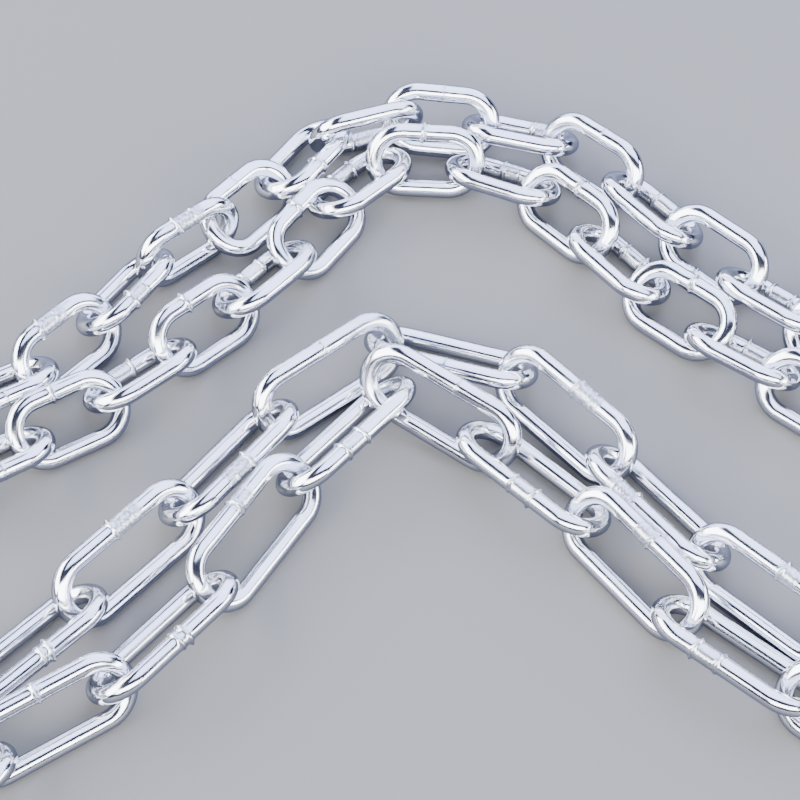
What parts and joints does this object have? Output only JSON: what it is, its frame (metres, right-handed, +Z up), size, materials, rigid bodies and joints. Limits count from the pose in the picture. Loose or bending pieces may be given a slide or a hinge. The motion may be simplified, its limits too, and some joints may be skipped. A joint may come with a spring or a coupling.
{
  "type": "heap of steel chain",
  "caption": "Heap of welded steel chain: long-link and short-link lengths laid out in bent pairs, with bright zinc-plated links leaning to and fro in each other.",
  "frame": {"origin": "centre of the heap's outline, on the floor that the links lie on", "axes": "+X across the heap from left to right as pictured, along its longest extent, +Y away from the viewer to the far bends, +Z up"},
  "size_m": [0.2574, 0.1958, 0.0183],
  "materials": {
    "zinc_plated_steel": "bright zinc plating, smooth and shiny"
  },
  "bodies": {
    "root": {"long_back_link_01": "zinc_plated_steel", "long_back_link_02": "zinc_plated_steel", "long_back_link_03": "zinc_plated_steel", "long_back_link_04": "zinc_plated_steel", "long_back_link_05": "zinc_plated_steel", "long_back_link_06": "zinc_plated_steel", "long_back_link_07": "zinc_plated_steel", "long_back_link_08": "zinc_plated_steel", "long_back_link_09": "zinc_plated_steel", "long_back_link_10": "zinc_plated_steel", "long_front_link_01": "zinc_plated_steel", "long_front_link_02": "zinc_plated_steel", "long_front_link_03": "zinc_plated_steel", "long_front_link_04": "zinc_plated_steel", "long_front_link_05": "zinc_plated_steel", "long_front_link_06": "zinc_plated_steel", "long_front_link_07": "zinc_plated_steel", "long_front_link_08": "zinc_plated_steel", "long_front_link_09": "zinc_plated_steel", "long_front_link_10": "zinc_plated_steel", "short_back_link_01": "zinc_plated_steel", "short_back_link_02": "zinc_plated_steel", "short_back_link_03": "zinc_plated_steel", "short_back_link_04": "zinc_plated_steel", "short_back_link_05": "zinc_plated_steel", "short_back_link_06": "zinc_plated_steel", "short_back_link_07": "zinc_plated_steel", "short_back_link_08": "zinc_plated_steel", "short_back_link_09": "zinc_plated_steel", "short_back_link_10": "zinc_plated_steel", "short_back_link_11": "zinc_plated_steel", "short_back_link_12": "zinc_plated_steel", "short_back_link_13": "zinc_plated_steel", "short_back_link_14": "zinc_plated_steel", "short_back_link_15": "zinc_plated_steel", "short_back_link_16": "zinc_plated_steel", "short_back_link_17": "zinc_plated_steel", "short_front_link_01": "zinc_plated_steel", "short_front_link_02": "zinc_plated_steel", "short_front_link_03": "zinc_plated_steel", "short_front_link_04": "zinc_plated_steel", "short_front_link_05": "zinc_plated_steel", "short_front_link_06": "zinc_plated_steel", "short_front_link_07": "zinc_plated_steel", "short_front_link_08": "zinc_plated_steel", "short_front_link_09": "zinc_plated_steel", "short_front_link_10": "zinc_plated_steel", "short_front_link_11": "zinc_plated_steel", "short_front_link_12": "zinc_plated_steel", "short_front_link_13": "zinc_plated_steel", "short_front_link_14": "zinc_plated_steel", "short_front_link_15": "zinc_plated_steel", "short_front_link_16": "zinc_plated_steel", "short_front_link_17": "zinc_plated_steel"}
  },
  "joints": []
}
